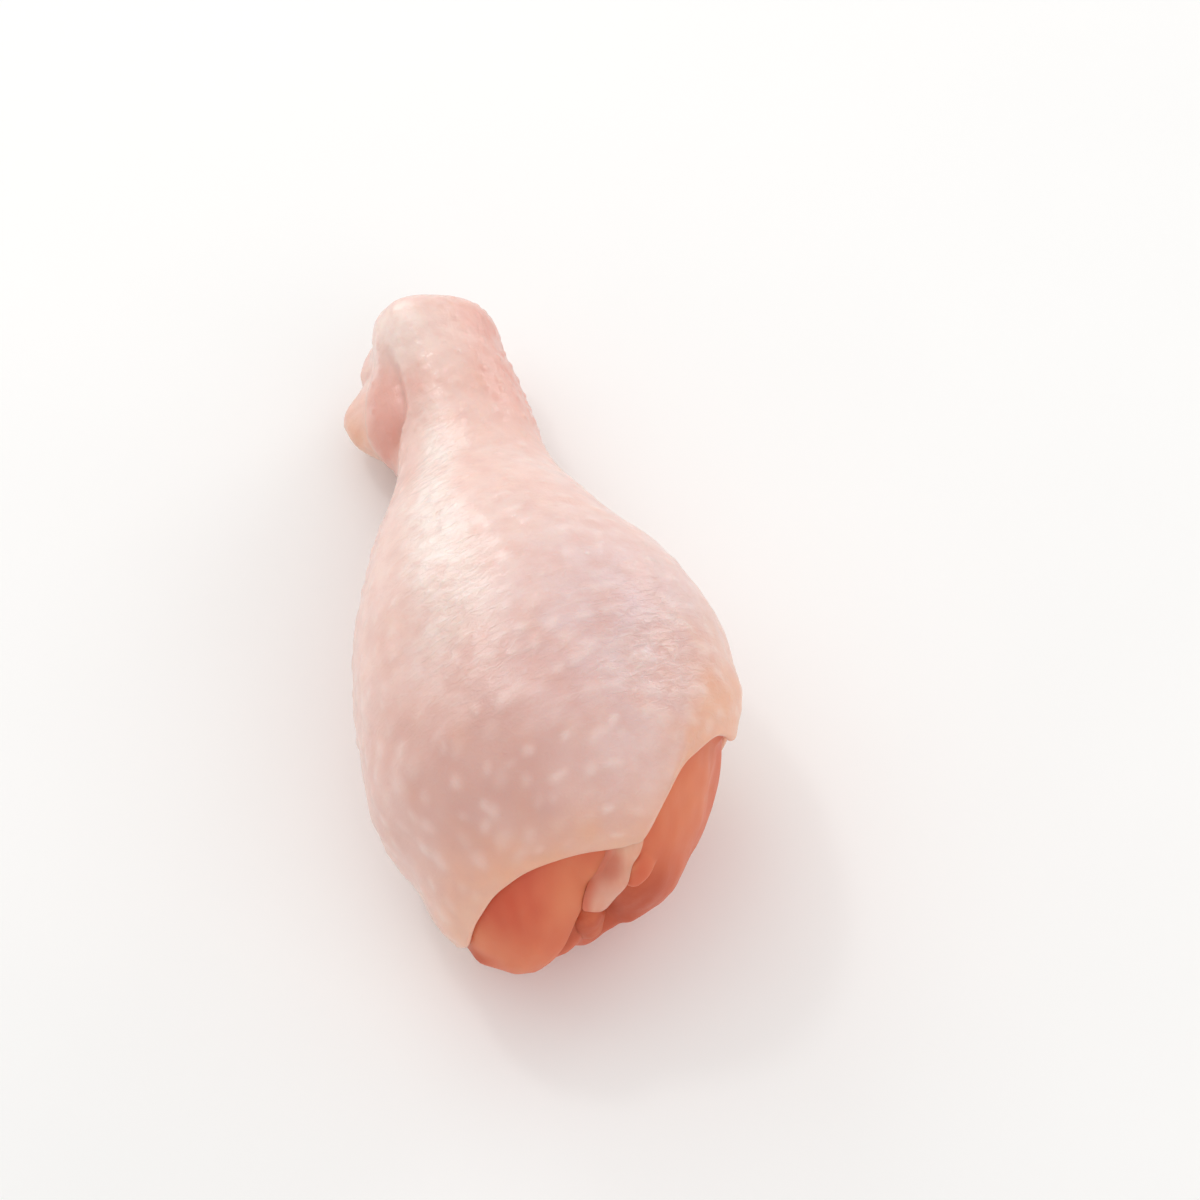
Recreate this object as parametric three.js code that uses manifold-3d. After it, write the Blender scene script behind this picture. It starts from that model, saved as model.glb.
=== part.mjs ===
// A raw chicken drumstick lying on its side: a sock of skin, the meat inside it, a pale tendon
// strand and the cartilage knob at the knee. Millimetres, +Z up. The knee end is at -Y, the ankle
// knob at +Y, and the belly and the knob rest on z = 0.

import * as THREE from "three";
import { mergeVertices } from "three/addons/utils/BufferGeometryUtils.js";
import Module from "manifold-3d";

// Driving dimensions of the meat core, before the skin goes round it.
// Each section across the leg has a half width about centreX and a top and bottom height.

const SECTIONS = [
  { y: -27, halfWidth: 27.1, centreX: 0.1, top: 48.4, bottom: -1.6 },
  { y: -14, halfWidth: 28.0, centreX: 1.0, top: 49.0, bottom: -2.6 },
  { y: 0, halfWidth: 24.5, centreX: -0.2, top: 46.3, bottom: -1.4 },
  { y: 15, halfWidth: 17.4, centreX: -2.6, top: 38.3, bottom: 2.4 },
  { y: 29, halfWidth: 11.4, centreX: -2.4, top: 28.5, bottom: 5.4 },
  { y: 38, halfWidth: 9.8, centreX: -2.0, top: 25.4, bottom: 4.6 },
  { y: 47, halfWidth: 9.6, centreX: -2.8, top: 25.6, bottom: 1.2 },
  { y: 55, halfWidth: 9.4, centreX: -3.8, top: 24.8, bottom: -1.0 },
];
const SECTION_POWER = 2.15;

// Round ends: how far each cap reaches past the last section, how square it is, and the length
// along the surface for one radian of turn.
const KNEE_CAP = { depth: 22, power: 2.0, turn: 28 };
const ANKLE_CAP = { depth: 7.6, power: 2.7, turn: 12 };

// Muscle lobes that swell out of the knee end, as ellipsoids.
const LOBES = [
  { centre: [-8.6, -33, 20], radii: [14.4, 24, 18] },
  { centre: [9.0, -31, 22.5], radii: [12.6, 21, 18] },
  { centre: [0.8, -34, 14], radii: [8, 18.4, 11.5] },
];
const LOBE_BLEND = 0.8;
const LOBE_FADE = 9;

// Swellings and hollows of the ankle: the heel, the hollow beside it and the two knuckles.
const ANKLE_FORMS = [
  { y: 46, angle: 195, height: 6.6, kneeReach: 7, ankleReach: 8.8, spread: 44 },
  { y: 44, angle: 146, height: -2.4, kneeReach: 7, ankleReach: 7, spread: 24 },
  { y: 57, angle: 114, height: 1.7, kneeReach: 7, ankleReach: 6, spread: 24 },
  { y: 56, angle: 40, height: 0.9, kneeReach: 6, ankleReach: 6, spread: 26 },
];
const ANKLE_FORM_POWER = 2.6;

// The skin's cut edge: how far it lies past the first section (minus is towards the knee), by
// angle round the leg from +X over the top.
const RIM = [
  { angle: 0, along: -1.6 },
  { angle: 22, along: -4.6 },
  { angle: 34, along: -7.8 },
  { angle: 40.5, along: -11.0 },
  { angle: 46.5, along: -16.8 },
  { angle: 51.5, along: -22.8 },
  { angle: 58, along: -26.7 },
  { angle: 76, along: -28.9 },
  { angle: 106, along: -29.9 },
  { angle: 134, along: -27.7 },
  { angle: 180, along: -26.4 },
  { angle: 224, along: -24.0 },
  { angle: 262, along: -17.0 },
  { angle: 300, along: -9.0 },
  { angle: 335, along: -3.6 },
  { angle: 360, along: -1.6 },
];
const FLARE = { angle: 14, along: -6, height: 1.6, spread: 26, reach: 10 };

const SKIN_THICKNESS = 1.3;
const CLEARANCE = 0.3;
const SKIN_OUTSIDE = CLEARANCE + SKIN_THICKNESS;
const FLOOR_SOFTNESS = 3;

// The point of the sections' frame that lies under the middle of the whole drumstick's box.
const MIDDLE = { x: 0.95, y: 3.63 };

// The tendon's course over the core, from inside the meat under the skin to the cartilage.
const TENDON_COURSE = [
  { angle: 52, along: -22.0, depth: -2.4 },
  { angle: 55, along: -27.4, depth: -1.6 },
  { angle: 56, along: -30.5, depth: -0.4 },
  { angle: 55, along: -33.5, depth: 0.0 },
  { angle: 44, along: -37.5, depth: 0.2 },
  { angle: 319, along: -40.0, depth: 0.3 },
];
const TENDON = { halfWidth: 2.4, halfHeight: 1.4, endPower: 4, rings: 18, sides: 14 };
const CARTILAGE = { centre: [0.8, -50.2, 18.6], radii: [3.8, 3.0, 4.8], sides: 16, rings: 10 };

const FINISHES = {
  skin: { color: 0xe6c6bd, roughness: 0.42, metalness: 0 },
  meat: { color: 0xd98066, roughness: 0.35, metalness: 0 },
  tendon: { color: 0xe9c4b8, roughness: 0.35, metalness: 0 },
  cartilage: { color: 0xc98a70, roughness: 0.4, metalness: 0 },
};

// Mesh fineness. Columns gather at the corner of the skin's tongue, where the cut edge is steep.
const COLUMNS = 44;
const COVERED_ROWS = 36;
const BARE_ROWS = 11;
const GATHER_ANGLE = 48;
const GATHER = 0.45;

const FIRST_Y = SECTIONS[0].y;
const LAST_Y = SECTIONS[SECTIONS.length - 1].y;
const BODY_LENGTH = LAST_Y - FIRST_Y;
const KNEE_POLE = -KNEE_CAP.turn * Math.PI / 2;
const ANKLE_POLE = BODY_LENGTH + ANKLE_CAP.turn * Math.PI / 2;

// A smooth curve of stations[key] over stations[place]. Each slope is that between the two
// neighbours; the ends are level, or wrap round when the curve is periodic.
function smoothCurve(stations, place, key, at, periodic = false) {
  const last = stations.length - 1;
  const run = (a, b) => stations[b][place] - stations[a][place];
  const rise = (a, b) => stations[b][key] - stations[a][key];
  const slope = (i) => {
    if (i > 0 && i < last) return rise(i - 1, i + 1) / run(i - 1, i + 1);
    if (!periodic) return 0;
    return (rise(0, 1) + rise(last - 1, last)) / (run(0, 1) + run(last - 1, last));
  };
  let i = 0;
  while (i < last - 1 && at >= stations[i + 1][place]) i += 1;
  const span = run(i, i + 1);
  const t = (at - stations[i][place]) / span;
  const s = 1 - t;
  const level = stations[i][key] * (1 + 2 * t) * s * s + stations[i + 1][key] * (1 + 2 * s) * t * t;
  return level + span * t * s * (slope(i) * s - slope(i + 1) * t);
}

// Degrees from one angle to another, between -180 and 180.
function turnFrom(angle, centre) {
  return THREE.MathUtils.euclideanModulo(angle - centre + 180, 360) - 180;
}

// A bell that is 1 at zero and has fallen to 1/e at one reach; a higher power flattens its top.
function bell(distance, reach, power = 2) {
  return Math.exp(-(Math.abs(distance / reach) ** power));
}

// Centre and radius of the section at y, in the direction theta: a superellipse with the ankle's
// swellings and hollows added.
function sectionAt(theta, y) {
  const size = (key) => smoothCurve(SECTIONS, "y", key, y);
  const halfHeight = (size("top") - size("bottom")) / 2;
  const across = Math.abs(Math.cos(theta) / size("halfWidth")) ** SECTION_POWER;
  const upright = Math.abs(Math.sin(theta) / halfHeight) ** SECTION_POWER;
  let radius = (across + upright) ** (-1 / SECTION_POWER);
  for (const form of ANKLE_FORMS) {
    const reach = y < form.y ? form.kneeReach : form.ankleReach;
    const turn = turnFrom(THREE.MathUtils.radToDeg(theta), form.angle);
    const strength = bell(y - form.y, reach, ANKLE_FORM_POWER) * bell(turn, form.spread, ANKLE_FORM_POWER);
    radius += form.height * strength;
  }
  const centre = new THREE.Vector3(size("centreX"), y, (size("top") + size("bottom")) / 2);
  return { centre, radius };
}

// Distance from a point along a direction to the far side of a lobe's ellipsoid.
function lobeReach(from, direction, lobe) {
  const radii = new THREE.Vector3(...lobe.radii);
  const start = from.clone().sub(new THREE.Vector3(...lobe.centre)).divide(radii);
  const step = direction.clone().divide(radii);
  const square = step.lengthSq();
  const middle = start.dot(step);
  const inside = Math.max(middle * middle - square * (start.lengthSq() - 1), 0);
  return (Math.sqrt(inside) - middle) / square;
}

// The largest of several distances, rounded where two of them cross.
function softLargest(distances, blend) {
  const largest = Math.max(...distances);
  const total = distances.reduce((sum, d) => sum + Math.exp((d - largest) / blend), 0);
  return largest + blend * Math.log(total);
}

// Presses a height onto the floor: flat below it, unchanged well above it, and a parabola between.
function pressOnFloor(z, floor) {
  const height = z - floor;
  if (height <= -FLOOR_SOFTNESS) return floor;
  if (height >= FLOOR_SOFTNESS) return z;
  return floor + (height + FLOOR_SOFTNESS) ** 2 / (4 * FLOOR_SOFTNESS);
}

// The core's surface. theta goes round the leg, along runs from the knee pole over the sections to
// the ankle pole, and offset moves the point straight out from the section's or cap's centre.
function corePoint(theta, along, offset, floor) {
  const y = THREE.MathUtils.clamp(FIRST_Y + along, FIRST_Y, LAST_Y);
  const { centre, radius } = sectionAt(theta, y);
  const atKnee = along < 0;
  const cap = atKnee ? KNEE_CAP : ANKLE_CAP;
  const past = atKnee ? -along : Math.max(along - BODY_LENGTH, 0);
  const side = Math.max(Math.cos(past / cap.turn), 0);
  const end = Math.sin(past / cap.turn);
  const capReach = ((side / radius) ** cap.power + (end / cap.depth) ** cap.power) ** (-1 / cap.power);
  const endSign = atKnee ? -1 : 1;
  const direction = new THREE.Vector3(side * Math.cos(theta), endSign * end, side * Math.sin(theta));
  let reach = capReach;
  if (atKnee) {
    const lobes = LOBES.map((lobe) => lobeReach(centre, direction, lobe));
    const swollen = softLargest([capReach, ...lobes], LOBE_BLEND);
    reach += (swollen - capReach) * THREE.MathUtils.smoothstep(past, 0, LOBE_FADE);
  }
  const point = centre.addScaledVector(direction, reach + offset);
  point.z = pressOnFloor(point.z, floor);
  return point;
}

function rimAt(theta) {
  const angle = THREE.MathUtils.euclideanModulo(THREE.MathUtils.radToDeg(theta), 360);
  return smoothCurve(RIM, "angle", "along", angle, true);
}

// The skin lifts off the meat a little at the right-hand corner of its cut edge.
function flareAt(theta, along) {
  const turn = turnFrom(THREE.MathUtils.radToDeg(theta), FLARE.angle);
  return FLARE.height * bell(turn, FLARE.spread) * bell(along - FLARE.along, FLARE.reach);
}

function meatPoint(theta, along, depth = 0) {
  return corePoint(theta, along, depth, SKIN_OUTSIDE);
}

function skinPoint(theta, along, offset) {
  return corePoint(theta, along, offset + flareAt(theta, along), SKIN_OUTSIDE - offset);
}

// Angles of the columns round the leg, closer together near GATHER_ANGLE.
function columnAngles() {
  const gather = THREE.MathUtils.degToRad(GATHER_ANGLE);
  return Array.from({ length: COLUMNS }, (_, column) => {
    const even = 2 * Math.PI * column / COLUMNS;
    return gather + even - GATHER * Math.sin(even);
  });
}

// A closed surface through a start point, rings of equal length and an end point. Its faces point
// out when the rings turn anticlockwise seen from the end, or the other way when flipped.
function closedSurface(start, rings, end, flipped = false) {
  const points = [start, ...rings.flat(), end];
  const size = rings[0].length;
  const last = rings.length - 1;
  const at = (ring, column) => 1 + ring * size + (column % size);
  const faces = [];
  const face = (a, b, c) => faces.push(...(flipped ? [a, c, b] : [a, b, c]));
  for (let column = 0; column < size; column += 1) {
    face(0, at(0, column), at(0, column + 1));
    face(at(last, column), points.length - 1, at(last, column + 1));
    for (let ring = 0; ring < last; ring += 1) {
      face(at(ring, column), at(ring + 1, column), at(ring + 1, column + 1));
      face(at(ring, column), at(ring + 1, column + 1), at(ring, column + 1));
    }
  }
  const geometry = new THREE.BufferGeometry().setFromPoints(points);
  geometry.setIndex(faces);
  return geometry;
}

// Rows of the part that the skin covers, from its cut edge towards the ankle pole.
function coveredRings(angles, pointAt) {
  return Array.from({ length: COVERED_ROWS }, (_, row) => angles.map((theta) => {
    const along = THREE.MathUtils.lerp(rimAt(theta), ANKLE_POLE, row / COVERED_ROWS);
    return pointAt(theta, along);
  }));
}

// Rows of bare meat, from just off the knee pole to the skin's cut edge.
function bareRings(angles) {
  return Array.from({ length: BARE_ROWS }, (_, row) => angles.map((theta) => {
    const along = THREE.MathUtils.lerp(KNEE_POLE, rimAt(theta), (row + 1) / (BARE_ROWS + 1));
    return meatPoint(theta, along);
  }));
}

// The skin is a sock: its outer face runs from the ankle to the cut edge and its inner face back.
function makeSkin() {
  const angles = columnAngles();
  const outer = coveredRings(angles, (theta, along) => skinPoint(theta, along, SKIN_OUTSIDE));
  const inner = coveredRings(angles, (theta, along) => skinPoint(theta, along, CLEARANCE));
  const outerEnd = skinPoint(0, ANKLE_POLE, SKIN_OUTSIDE);
  const innerEnd = skinPoint(0, ANKLE_POLE, CLEARANCE);
  return closedSurface(outerEnd, [...outer.reverse(), ...inner], innerEnd, true);
}

function makeMeatCore() {
  const angles = columnAngles();
  const rings = [...bareRings(angles), ...coveredRings(angles, (theta, along) => meatPoint(theta, along))];
  return closedSurface(meatPoint(0, KNEE_POLE), rings, meatPoint(0, ANKLE_POLE));
}

// A flat strand with an oval section and round ends, along its course on the meat. The oval's short
// side points away from the middle of the knee end. grow enlarges it all round.
function makeTendon(grow = 0) {
  const places = TENDON_COURSE.map(({ angle, along, depth }) =>
    meatPoint(THREE.MathUtils.degToRad(angle), along, depth));
  const course = new THREE.CatmullRomCurve3(places);
  const middle = sectionAt(0, FIRST_Y).centre;
  const ringAt = (t, fullness) => {
    const centre = course.getPointAt(t);
    const tangent = course.getTangentAt(t);
    const across = tangent.clone().cross(centre.clone().sub(middle)).normalize();
    const out = across.clone().cross(tangent).normalize();
    return Array.from({ length: TENDON.sides }, (_, side) => {
      const turn = 2 * Math.PI * side / TENDON.sides;
      return centre.clone()
        .addScaledVector(across, (TENDON.halfWidth + grow) * fullness * Math.cos(turn))
        .addScaledVector(out, (TENDON.halfHeight + grow) * fullness * Math.sin(turn));
    });
  };
  const rings = Array.from({ length: TENDON.rings }, (_, ring) => {
    const t = (ring + 1) / (TENDON.rings + 1);
    const fullness = Math.sqrt(1 - Math.abs(2 * t - 1) ** TENDON.endPower);
    return ringAt(t, fullness);
  });
  const tip = (t) => course.getPointAt(t).addScaledVector(course.getTangentAt(t), (2 * t - 1) * grow);
  return closedSurface(tip(0), rings, tip(1));
}

function makeCartilage(grow = 0) {
  const knob = new THREE.SphereGeometry(1, CARTILAGE.sides, CARTILAGE.rings);
  const radii = CARTILAGE.radii.map((radius) => radius + grow);
  return knob.scale(...radii).translate(...CARTILAGE.centre);
}

// Boolean work on closed meshes whose shared vertices are merged.

const wasm = await Module();
wasm.setup();

function asSolid(geometry) {
  const bare = geometry.clone();
  bare.deleteAttribute("normal");
  bare.deleteAttribute("uv");
  const merged = mergeVertices(bare);
  const mesh = new wasm.Mesh({
    numProp: 3,
    vertProperties: new Float32Array(merged.getAttribute("position").array),
    triVerts: new Uint32Array(merged.getIndex().array),
  });
  return new wasm.Manifold(mesh);
}

function asGeometry(solid) {
  const mesh = solid.getMesh();
  const geometry = new THREE.BufferGeometry();
  geometry.setAttribute("position", new THREE.BufferAttribute(mesh.vertProperties, 3));
  geometry.setIndex(new THREE.BufferAttribute(mesh.triVerts, 1));
  return geometry;
}

// The strand stops short of the cartilage, and the meat has a bed for both.

const cartilageBed = asSolid(makeCartilage(CLEARANCE));
const tendonBed = asSolid(makeTendon(CLEARANCE));
const tendon = asSolid(makeTendon()).subtract(cartilageBed);
const meat = asSolid(makeMeatCore()).subtract(tendonBed).subtract(cartilageBed);

function food(name, geometry) {
  geometry.computeVertexNormals();
  const mesh = new THREE.Mesh(geometry, new THREE.MeshStandardMaterial(FINISHES[name]));
  mesh.name = name;
  return mesh;
}

const drumstick = new THREE.Group();
drumstick.position.set(-MIDDLE.x, -MIDDLE.y, 0);
drumstick.add(food("skin", makeSkin()));
drumstick.add(food("meat", asGeometry(meat)));
drumstick.add(food("tendon", asGeometry(tendon)));
drumstick.add(food("cartilage", makeCartilage()));

export default drumstick;
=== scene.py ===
"""A raw chicken drumstick lying on its side: its sock of skin, the meat inside it, and the strand
of tendon and knob of cartilage at the cut knee end. Each piece is a grid of points worked out with
numpy, in millimetres in the frame of the leg's sections, and goes into its mesh in metres in the
part's frame."""

import bpy
import numpy as np
from mathutils import Matrix, Vector


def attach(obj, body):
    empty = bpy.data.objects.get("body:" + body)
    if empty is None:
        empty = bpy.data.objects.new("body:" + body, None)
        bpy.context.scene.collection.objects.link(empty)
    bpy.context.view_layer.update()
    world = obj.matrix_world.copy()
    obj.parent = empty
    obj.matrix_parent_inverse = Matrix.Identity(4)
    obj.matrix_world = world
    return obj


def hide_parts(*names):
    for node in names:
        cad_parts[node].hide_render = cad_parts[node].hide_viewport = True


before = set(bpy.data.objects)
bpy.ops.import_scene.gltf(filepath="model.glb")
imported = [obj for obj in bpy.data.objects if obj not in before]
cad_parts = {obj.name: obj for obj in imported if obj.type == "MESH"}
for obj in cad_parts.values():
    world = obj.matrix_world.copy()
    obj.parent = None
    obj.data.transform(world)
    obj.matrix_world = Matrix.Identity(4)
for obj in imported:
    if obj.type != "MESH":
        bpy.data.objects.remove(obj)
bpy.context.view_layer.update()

# The leg's form, mm. The sections' frame has +Y from the knee to the ankle and +Z up from the floor.
MM = 0.001
MIDDLE = np.array([0.95, 3.63, 0.0])

# Sections across the leg: place on the leg, half width, middle across, top and bottom.
SECTIONS = np.array([
    [-27.0, 27.1, 0.1, 48.4, -1.6],
    [-14.0, 28.0, 1.0, 49.0, -2.6],
    [0.0, 24.5, -0.2, 46.3, -1.4],
    [15.0, 17.4, -2.6, 38.3, 2.4],
    [29.0, 11.4, -2.4, 28.5, 5.4],
    [38.0, 9.8, -2.0, 25.4, 4.6],
    [47.0, 9.6, -2.8, 25.6, 1.2],
    [55.0, 8.9, -3.8, 24.8, -1.0],
])
SECTION_POWER = 2.15
FIRST_Y = SECTIONS[0, 0]
LAST_Y = SECTIONS[-1, 0]
BODY_LENGTH = LAST_Y - FIRST_Y

# Round ends: reach past the last section, squareness, and length along the surface for one radian
# of turn.
KNEE_DEPTH, KNEE_POWER, KNEE_TURN = 22.0, 2.0, 28.0
ANKLE_DEPTH, ANKLE_POWER, ANKLE_TURN = 7.6, 2.7, 12.0
KNEE_POLE = -KNEE_TURN * np.pi / 2
KNEE_MIDDLE = np.array([SECTIONS[0, 2], FIRST_Y, (SECTIONS[0, 3] + SECTIONS[0, 4]) / 2])
ANKLE_POLE = BODY_LENGTH + ANKLE_TURN * np.pi / 2

# Muscle lobes of the knee end: the middle and the radii of each ellipsoid.
LOBES = np.array([
    [[-8.6, -33.0, 20.0], [14.4, 24.0, 18.0]],
    [[8.4, -31.0, 22.5], [11.8, 20.6, 18.0]],
    [[0.8, -34.0, 14.0], [8.0, 18.4, 11.5]],
])
LOBE_BLEND = 0.8
LOBE_FADE = 9.0

# Heel and two knuckles of the ankle: place, angle, height, reach to knee, reach to ankle, spread in
# degrees.
ANKLE_FORMS = np.array([
    [49.6, 198.0, 6.6, 8.8, 5.5, 21.0],
    [57.0, 117.0, 3.0, 7.0, 6.0, 26.0],
    [56.0, 40.0, 0.6, 6.0, 6.0, 26.0],
])
ANKLE_FORM_POWER = 2.6

# The pad between the heel and the neck: place on the leg, and the angles of its right crease and
# its left one.
PAD_EDGES = np.array([
    [30.0, 190.0, 212.0],
    [35.0, 177.0, 203.0],
    [38.0, 165.0, 197.0],
    [39.5, 152.0, 191.0],
    [41.3, 143.0, 184.0],
    [44.0, 137.5, 177.0],
    [47.0, 134.0, 173.0],
    [50.0, 129.0, 171.0],
    [60.0, 120.0, 171.0],
])
# Its height at shares of the way from the right crease to the left one.
PAD = np.array([
    [-1.2, 0.0], [-0.5, 0.3], [-0.2, 0.3], [0.0, -0.6], [0.14, 0.5], [0.3, 1.6], [0.5, 2.5], [0.7, 3.0],
    [0.86, 2.9], [0.96, 2.5], [1.1, 1.4], [1.35, 0.6], [2.0, 0.4], [3.0, 0.0],
])
PAD_PLACE, PAD_TO_KNEE, PAD_TO_ANKLE = 46.0, 8.0, 7.5

# The skin's cut edge: angle round the leg from +X over the top, and its place along the leg.
RIM = np.array([
    [0.0, 3.2], [8.0, 0.2], [14.0, -3.5], [18.0, -4.3], [22.0, -4.7], [27.0, -5.4], [31.5, -6.8],
    [36.0, -8.6], [40.0, -10.6], [43.0, -12.6], [45.0, -15.0], [47.2, -19.6], [48.9, -24.0], [50.8, -26.2],
    [54.2, -27.0], [62.0, -28.4], [76.0, -29.5], [106.0, -29.8], [134.0, -27.5],
    [178.0, -26.9], [191.0, -26.0], [203.0, -23.0], [224.0, -19.5], [262.0, -13.0], [300.0, -5.0],
    [330.0, 2.6], [360.0, 3.2],
])
# At the right-hand corner of that edge the skin lifts off the meat, and above it the skin draws in.
FLARE_ANGLE, FLARE_ALONG, FLARE_HEIGHT, FLARE_SPREAD, FLARE_REACH = 14.0, 2.8, 1.2, 26.0, 5.2
WAIST_ALONG, WAIST_DEPTH, WAIST_REACH = 11.0, 0.6, 4.5

# The skin's inside and outside over the meat, how far from the cut edge the inside takes its full
# clearance and its full lift, and the height of the bend to the floor.
CLEARANCE = 0.3
SKIN_OUTSIDE = 1.6
CLEARANCE_REACH, LIFT_REACH = 5.0, 8.0
FLOOR_SOFTNESS = 3.0

# The cut edge: its clearance from the meat, its thinning and how far that reaches, its round lip
# and its waviness.
EDGE_CLEARANCE = 0.05
EDGE_THINNING = 0.5
EDGE_CORNER_THINNING = 0.5
EDGE_REACH = 3.0
LIP_REACH = 0.5
RIM_WAVE = 0.12

# The strand's two edges over the meat: angle, place along, height over the meat.
STRAND_LEFT = np.array([
    [66.5, -24.5, -1.8],
    [68.8, -28.0, -0.1],
    [70.5, -31.5, -0.1],
    [74.0, -34.6, -0.1],
    [79.0, -37.4, -0.1],
    [90.0, -39.5, -0.1],
    [107.0, -40.4, -0.2],
    [127.0, -41.1, -0.3],
])
STRAND_RIGHT = np.array([
    [54.0, -18.0, -1.0],
    [50.8, -22.8, 0.0],
    [49.2, -26.4, 0.8],
    [48.8, -28.8, 0.9],
    [47.8, -31.2, 0.8],
    [44.5, -34.1, 0.9],
    [31.0, -37.5, 1.3],
    [-18.0, -39.2, 1.4],
])
# Its height in the middle, its depth below, its lean to the right, its thinnest film over the meat
# and the roundness of its ends.
STRAND_CROWN, STRAND_DEPTH, STRAND_SKEW = 0.7, 1.8, 0.4
STRAND_FILM, STRAND_ROUNDNESS = 0.2, 0.45
# The film's edge dips into the meat by a share of its thickness, and rises from there to this height
# of the strand's section.
FILM_DIP, FILM_RISE = 0.6, 0.85
# The knob at its lower end.
KNOB_MIDDLE = np.array([0.5, -50.6, 19.3])
KNOB_RADII = np.array([2.8, 2.8, 5.5])

# Fineness of the grids, and the angle where their columns gather.
SKIN_COLUMNS, SKIN_ROWS, LIP_ROWS, INNER_ROWS = 300, 280, 6, 42
MEAT_COLUMNS, BARE_ROWS, HIDDEN_ROWS = 300, 120, 60
STRAND_ROWS, STRAND_COLUMNS = 90, 56
KNOB_ROWS, KNOB_COLUMNS = 40, 56
GATHER_ANGLE, GATHER = 62.0, 0.5
# The inner rows of the skin gather towards its cut edge by this power, and the meat's bare rows end
# this far inside the skin.
INNER_GATHER, MEAT_INSIDE = 1.5, 2.0


def smooth_curve(at, places, heights, closed=False):
    """Cubic Hermite curve through the heights: each slope is that between the two neighbours, and
    the ends are level, or wrap round on a closed curve."""
    slopes = np.zeros(len(places))
    slopes[1:-1] = (heights[2:] - heights[:-2]) / (places[2:] - places[:-2])
    if closed:
        run = places[1] - places[0] + places[-1] - places[-2]
        slopes[[0, -1]] = (heights[1] - heights[-2]) / run
    i = np.clip(np.searchsorted(places, at, side="right") - 1, 0, len(places) - 2)
    span = places[i + 1] - places[i]
    t = (at - places[i]) / span
    s = 1 - t
    level = heights[i] * (1 + 2 * t) * s * s + heights[i + 1] * (1 + 2 * s) * t * t
    return level + span * t * s * (slopes[i] * s - slopes[i + 1] * t)


def smooth_step(value, start, end):
    """0 before start, 1 after end, and a cubic with level ends between."""
    t = np.clip((value - start) / (end - start), 0, 1)
    return t * t * (3 - 2 * t)


def bell(distance, reach, power=2.0):
    """1 at zero and 1/e at one reach; a higher power flattens the top."""
    return np.exp(-np.abs(distance / reach) ** power)


def near(points, place, reach):
    """1 at a place and fading round it, 1/e at one reach."""
    return bell(np.linalg.norm(points - np.asarray(place), axis=-1), reach)


def turn_from(angle, centre):
    """Degrees from the centre to an angle in radians, between -180 and 180."""
    return (np.degrees(angle) - centre + 180) % 360 - 180


def waves(points, length, seed, count=24):
    """Soft unevenness of about one unit: the mean of cosine waves of random direction and phase,
    with lengths spread round the given one. Three lengths stretch the waves along the axes."""
    random = np.random.default_rng(seed)
    direction = random.normal(size=(count, 3))
    direction /= np.linalg.norm(direction, axis=1, keepdims=True)
    pitch = random.uniform(0.7, 1.4, (count, 1))
    phase = random.uniform(0, 2 * np.pi, count)
    wave = 2 * np.pi * direction * pitch / np.asarray(length, float)
    flat = points.reshape(-1, 3)
    total = sum(np.cos(flat @ wave[k] + phase[k]) for k in range(count))
    return (total * np.sqrt(2 / count)).reshape(points.shape[:-1])


def pad_share(angle, y):
    """Share of the way from the pad's right crease to its left one, held at the profile's ends."""
    place = np.clip(y, PAD_EDGES[0, 0], PAD_EDGES[-1, 0])
    right, left = (smooth_curve(place, PAD_EDGES[:, 0], PAD_EDGES[:, k]) for k in (1, 2))
    return np.clip((np.degrees(angle) % 360 - right) / (left - right), PAD[0, 0], PAD[-1, 0])


def section(angle, y):
    """Middle across, middle height and radius of the section at y: a superellipse with the ankle's
    forms and the pad added."""
    half_width, across, top, bottom = (smooth_curve(y, SECTIONS[:, 0], SECTIONS[:, k]) for k in range(1, 5))
    half_height = (top - bottom) / 2
    wide = np.abs(np.cos(angle) / half_width) ** SECTION_POWER
    high = np.abs(np.sin(angle) / half_height) ** SECTION_POWER
    radius = (wide + high) ** (-1 / SECTION_POWER)
    for place, form_angle, height, to_knee, to_ankle, spread in ANKLE_FORMS:
        reach = np.where(y < place, to_knee, to_ankle)
        strength = bell(y - place, reach, ANKLE_FORM_POWER)
        radius = radius + height * strength * bell(turn_from(angle, form_angle), spread, ANKLE_FORM_POWER)
    pad = smooth_curve(pad_share(angle, y), PAD[:, 0], PAD[:, 1])
    pad_reach = np.where(y < PAD_PLACE, PAD_TO_KNEE, PAD_TO_ANKLE)
    radius = radius + pad * bell(y - PAD_PLACE, pad_reach, ANKLE_FORM_POWER)
    return across, (top + bottom) / 2, radius


def lobe_reach(middle, direction, lobe):
    """Distance from a point along a direction to the far side of a lobe's ellipsoid."""
    start = (middle - lobe[0]) / lobe[1]
    step = direction / lobe[1]
    square = (step * step).sum(-1)
    half = (start * step).sum(-1)
    inside = np.maximum(half * half - square * ((start * start).sum(-1) - 1), 0)
    return (np.sqrt(inside) - half) / square


def soft_largest(reaches):
    """The largest of several distances, rounded where two of them cross."""
    largest = reaches.max(0)
    return largest + LOBE_BLEND * np.log(np.exp((reaches - largest) / LOBE_BLEND).sum(0))


def press_on_floor(height):
    """Flat below the floor, unchanged well above it, and a parabola between."""
    pressed = (height + FLOOR_SOFTNESS) ** 2 / (4 * FLOOR_SOFTNESS)
    return np.where(height <= -FLOOR_SOFTNESS, 0, np.where(height < FLOOR_SOFTNESS, pressed, height))


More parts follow.
